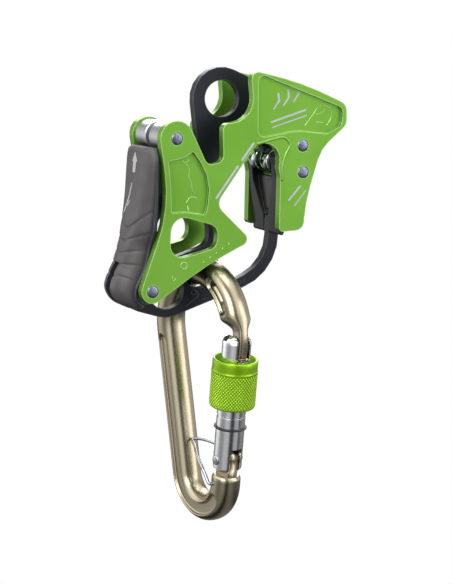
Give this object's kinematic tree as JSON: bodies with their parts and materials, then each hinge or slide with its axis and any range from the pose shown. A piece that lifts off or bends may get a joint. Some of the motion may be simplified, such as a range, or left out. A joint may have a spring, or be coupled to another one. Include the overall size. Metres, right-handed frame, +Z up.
{
  "type": "belay device",
  "caption": "Two-rope assisted-braking belay device with a release lever, a retaining gate, an anchor eye and a pear-shaped screw-lock carabiner.",
  "frame": {"origin": "front face of the centre plate, in the middle of the anchor eye's rim, straight above the eye's hole", "axes": "+Z up as the device hangs, +X from the release lever to the handle, +Y from the front side plate to the rear side plate"},
  "size_m": [0.1032, 0.0635, 0.1957],
  "materials": {
    "green_anodised": "satin anodised over a forged surface",
    "dark_anodised": "satin anodised, worn lighter on the edges",
    "brushed_steel": "brushed around the cylinder",
    "rivet_steel": "domed and satin",
    "lever_core_plastic": "satin moulded",
    "lever_grip_plastic": "fine moulded texture",
    "gate_plastic": "moulded",
    "spring_steel": "polished wire",
    "polished_chrome": "mirror",
    "polished_aluminium": "polished and turned",
    "bronze_anodised": "champagne satin anodised",
    "lime_anodised": "bright anodised, knurled"
  },
  "bodies": {
    "body": {"front_side_plate": "green_anodised", "rear_side_plate": "green_anodised", "centre_plate": "dark_anodised", "front_rope_roller": "brushed_steel", "rear_rope_roller": "brushed_steel", "roller_axle_rivet": "rivet_steel", "lever_pivot_rivet": "rivet_steel", "handle_rivet_upper": "rivet_steel", "handle_rivet_lower": "rivet_steel", "upper_spacer_front": "brushed_steel", "upper_spacer_rear": "brushed_steel", "lower_spacer_front": "brushed_steel", "lower_spacer_rear": "brushed_steel", "gate_hinge_pin": "spring_steel", "gate_bush_front": "polished_chrome", "gate_bush_rear": "polished_chrome"},
    "lever": {"release_lever_core": "lever_core_plastic", "release_lever_grip": "lever_grip_plastic", "lever_return_spring": "spring_steel"},
    "retaining_gate": {"retaining_gate": "gate_plastic"},
    "carabiner": {"carabiner_frame": "bronze_anodised", "carabiner_gate_pivot": "spring_steel"},
    "carabiner_gate": {"carabiner_gate": "polished_aluminium", "gate_plunger": "spring_steel", "gate_spring": "spring_steel", "sleeve_stop_ring": "dark_anodised"},
    "sleeve": {"screw_sleeve": "lime_anodised"},
    "keeper_wire": {"keeper_wire": "spring_steel"}
  },
  "joints": [
    {"name": "lever_swing", "type": "hinge", "parent": "body", "child": "lever", "pos_m": [-0.0384, 0.002, -0.089], "axis": [0, -1, 0], "range_deg": [0, 70], "stiffness_Nm_per_rad": 0.05},
    {"name": "retaining_gate_swing", "type": "hinge", "parent": "body", "child": "retaining_gate", "pos_m": [0.0226, 0.002, -0.0375], "axis": [0, 1, 0], "range_deg": [0, 35], "stiffness_Nm_per_rad": 0.03},
    {"name": "carabiner_swing", "type": "hinge", "parent": "body", "child": "carabiner", "pos_m": [-0.0108, 0.002, -0.0841], "axis": [0.196, -0.9638, 0.181], "range_deg": [-15, 15]},
    {"name": "carabiner_gate_open", "type": "hinge", "parent": "carabiner", "child": "carabiner_gate", "pos_m": [-0.00628, -0.02019, -0.16237], "axis": [-0.9799, -0.1994, 0], "range_deg": [0, 25], "stiffness_Nm_per_rad": 0.05},
    {"name": "sleeve_travel", "type": "slide", "parent": "carabiner_gate", "child": "sleeve", "axis": [-0.0256, 0.1257, -0.9917], "range_m": [-0.005, 0.0085]},
    {"name": "keeper_wire_swing", "type": "hinge", "parent": "carabiner", "child": "keeper_wire", "pos_m": [-0.00695, -0.01688, -0.1736], "axis": [0.9799, 0.1994, 0], "range_deg": [0, 25], "stiffness_Nm_per_rad": 0.01}
  ]
}
